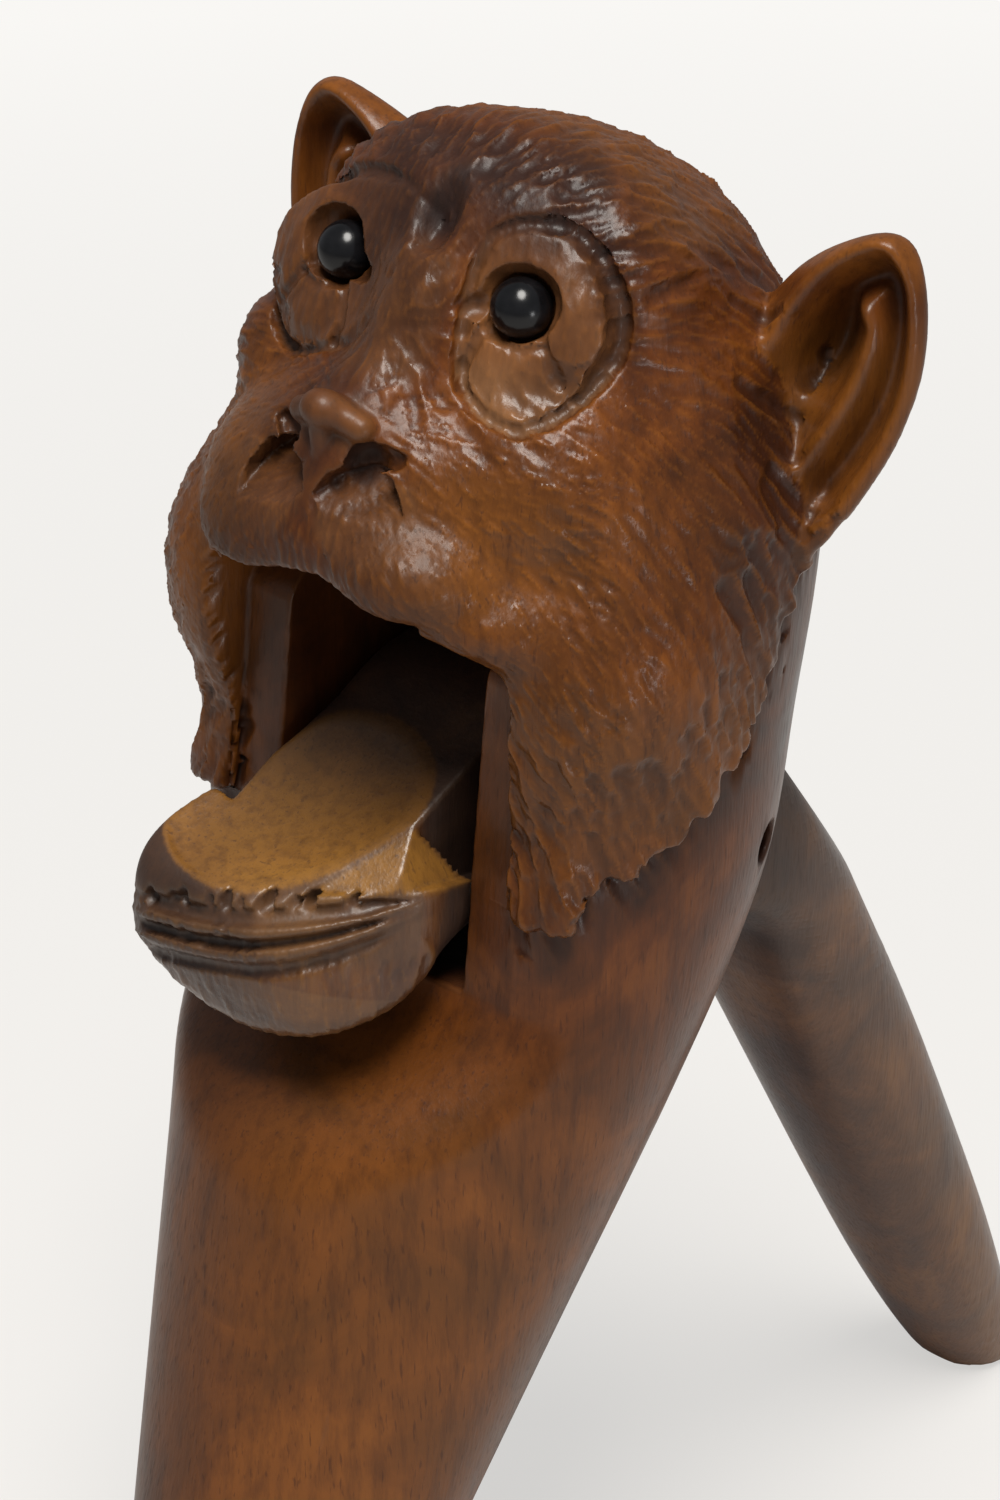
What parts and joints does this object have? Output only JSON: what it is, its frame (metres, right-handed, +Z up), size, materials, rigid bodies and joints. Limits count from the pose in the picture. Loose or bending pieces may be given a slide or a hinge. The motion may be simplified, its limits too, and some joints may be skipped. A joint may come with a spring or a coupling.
{
  "type": "carved figural nutcracker",
  "caption": "Wooden nutcracker carved as a monkey's head on a tapering grip, with glass bead eyes and a levered lower jaw pivoted on a cross pin.",
  "frame": {"origin": "centre of the bounding box in plan, on the ground that the two grips stand on", "axes": "+Z up, -Y towards the side the face looks to, +X towards the monkey's left"},
  "size_m": [0.0774, 0.145, 0.1815],
  "materials": {
    "stained_wood": "carved, stained red-brown and varnished",
    "lever_wood": "stained brown, worn paler on the seat for the nut",
    "dark_steel": "dull",
    "black_glass": "glossy black, opaque"
  },
  "bodies": {
    "head": {"head_handle": "stained_wood", "pivot_pin": "dark_steel", "left_eye": "black_glass", "right_eye": "black_glass", "left_eye_wire": "dark_steel", "right_eye_wire": "dark_steel"},
    "lever": {"jaw_lever": "lever_wood"}
  },
  "joints": [
    {"name": "jaw_swing", "type": "hinge", "parent": "head", "child": "lever", "pos_m": [0, -0.00776, 0.1105], "axis": [-1, 0, 0], "range_deg": [0, 40]}
  ]
}
